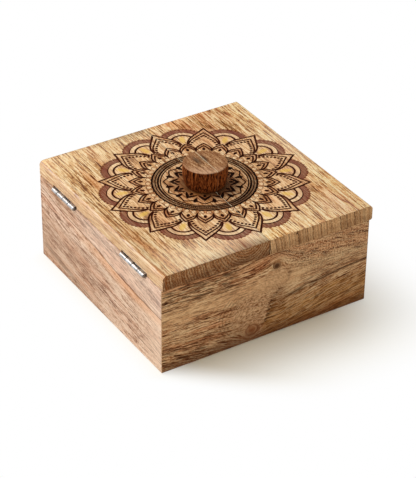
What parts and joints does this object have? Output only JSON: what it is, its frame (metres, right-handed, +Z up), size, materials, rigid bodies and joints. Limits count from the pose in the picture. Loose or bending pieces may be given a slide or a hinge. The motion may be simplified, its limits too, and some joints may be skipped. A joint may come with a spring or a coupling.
{
  "type": "keepsake box",
  "caption": "Square wooden keepsake box with mitred walls, a let-in bottom and a knobbed lid of joined boards that swings open on small butt hinges.",
  "frame": {"origin": "middle of the flat underside, on the surface the box stands on", "axes": "+Z up; the front, where the lid opens, faces -Y and the hinges are on the +Y side; +X is to the right seen from the front"},
  "size_m": [0.1794, 0.1801, 0.102],
  "materials": {
    "back_wood": "oiled, pale pinkish beige with brown grain",
    "front_wood": "oiled, mid brown with darker grain",
    "end_wood": "oiled, mid brown with swirling darker grain and small knots",
    "panel_wood": "plain sanded thin board",
    "lid_back_wood": "oiled, golden tan with brown streaks, carved and burnt ornament",
    "lid_front_wood": "oiled, golden tan with brown streaks, carved and burnt ornament",
    "knob_wood": "oiled, dark reddish brown",
    "hinge_metal": "bright plated steel",
    "screw_metal": "bright plated steel"
  },
  "bodies": {
    "box": {"back_wall": "back_wood", "front_wall": "front_wood", "left_wall": "end_wood", "right_wall": "end_wood", "bottom_panel": "panel_wood", "bottom_panel_pins": "screw_metal", "left_hinge_wall_leaf": "hinge_metal", "left_hinge_pin": "hinge_metal", "left_hinge_wall_screws": "screw_metal", "right_hinge_wall_leaf": "hinge_metal", "right_hinge_pin": "hinge_metal", "right_hinge_wall_screws": "screw_metal"},
    "lid": {"lid_back_board": "lid_back_wood", "lid_front_board": "lid_front_wood", "knob_back_half": "knob_wood", "knob_front_half": "knob_wood", "knob_screw": "screw_metal", "left_hinge_lid_leaf": "hinge_metal", "left_hinge_lid_screws": "screw_metal", "right_hinge_lid_leaf": "hinge_metal", "right_hinge_lid_screws": "screw_metal"}
  },
  "joints": [
    {"name": "lid_hinge", "type": "hinge", "parent": "box", "child": "lid", "pos_m": [0, 0.0889, 0.07135], "axis": [-1, 0, 0], "range_deg": [0, 180]}
  ]
}
